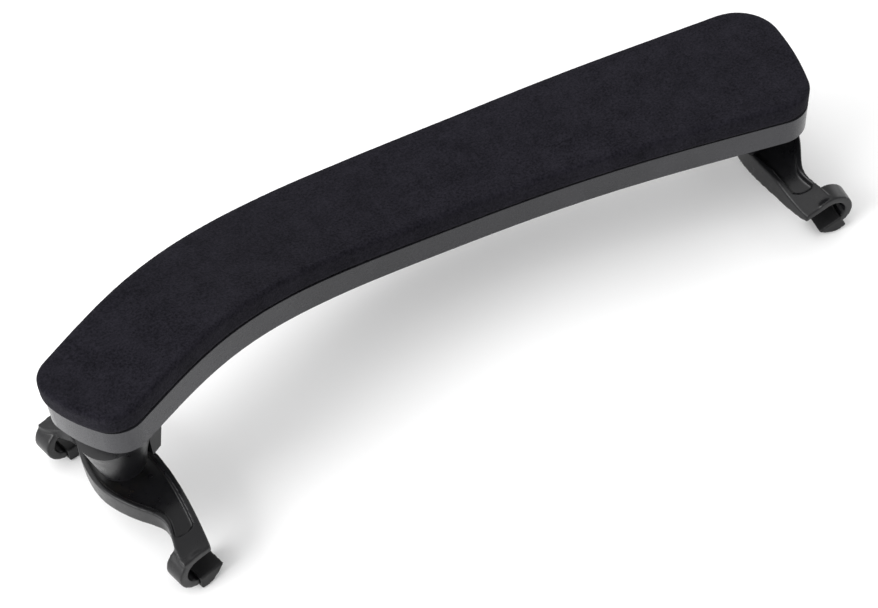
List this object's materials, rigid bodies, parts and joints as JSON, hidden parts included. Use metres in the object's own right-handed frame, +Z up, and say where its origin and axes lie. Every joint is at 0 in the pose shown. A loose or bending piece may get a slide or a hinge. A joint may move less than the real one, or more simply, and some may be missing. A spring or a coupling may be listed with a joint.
{
  "type": "violin shoulder rest",
  "caption": "Curved, padded violin shoulder rest on folding legs, each with a screw-height fork whose rubber-booted claws grip the edge of the violin's back.",
  "frame": {"origin": "on the plane the four claws stand on, under the middle of the bounding box", "axes": "+X along the bar towards its wide end, +Y towards the bar's bulging rear side, +Z up"},
  "size_m": [0.2618, 0.0816, 0.0609],
  "materials": {
    "pad_foam": "matte, fine-grained closed-cell foam",
    "frame_plastic": "satin moulded dark grey",
    "leg_plastic": "semi-gloss moulded black",
    "boot_rubber": "satin black",
    "steel": "plain turned",
    "brass": "plain turned",
    "tape": "dull black adhesive film"
  },
  "bodies": {
    "bar": {"frame_bar": "frame_plastic", "pad_tape": "tape", "foam_pad": "pad_foam", "left_leg_base": "leg_plastic", "left_base_screws": "steel", "left_hinge_pin": "steel", "left_hinge_washers": "leg_plastic", "right_leg_base": "leg_plastic", "right_base_screws": "steel", "right_hinge_pin": "steel", "right_hinge_washers": "leg_plastic"},
    "left_hub": {"left_swing_hub": "leg_plastic", "left_thread_insert": "brass"},
    "left_post": {"left_screw_post": "steel"},
    "left_fork": {"left_fork": "leg_plastic", "left_hub_cap": "leg_plastic", "left_front_boot": "boot_rubber", "left_rear_boot": "boot_rubber"},
    "right_hub": {"right_swing_hub": "leg_plastic", "right_thread_insert": "brass"},
    "right_post": {"right_screw_post": "steel"},
    "right_fork": {"right_fork": "leg_plastic", "right_hub_cap": "leg_plastic", "right_front_boot": "boot_rubber", "right_rear_boot": "boot_rubber"}
  },
  "joints": [
    {"name": "left_fold", "type": "hinge", "parent": "bar", "child": "left_hub", "pos_m": [-0.1085, 0.00175, 0.03954], "axis": [0.4164, -0.9092, 0], "range_deg": [-24.5, 69]},
    {"name": "left_height", "type": "slide", "parent": "left_hub", "child": "left_post", "axis": [0, 0, -1], "range_m": [-0.003, 0.0055]},
    {"name": "left_swivel", "type": "hinge", "parent": "left_post", "child": "left_fork", "pos_m": [-0.11668, -0.002, 0.0178], "axis": [0, 0, -1], "range_deg": [-1080, 1980]},
    {"name": "right_fold", "type": "hinge", "parent": "bar", "child": "right_hub", "pos_m": [0.09356, -0.00039, 0.02714], "axis": [0.2449, 0.9695, 0], "range_deg": [0, 99.5]},
    {"name": "right_height", "type": "slide", "parent": "right_hub", "child": "right_post", "axis": [0.4626, -0.1168, -0.8789], "range_m": [0, 0.009]},
    {"name": "right_swivel", "type": "hinge", "parent": "right_post", "child": "right_fork", "pos_m": [0.10958, -0.00444, 0.01557], "axis": [0.4626, -0.1168, -0.8789], "range_deg": [0, 3240]}
  ],
  "couplings": [
    {"joint": "left_height", "follows": "left_swivel", "m_per_rad": 0.00015915},
    {"joint": "right_height", "follows": "right_swivel", "m_per_rad": 0.00015915}
  ]
}
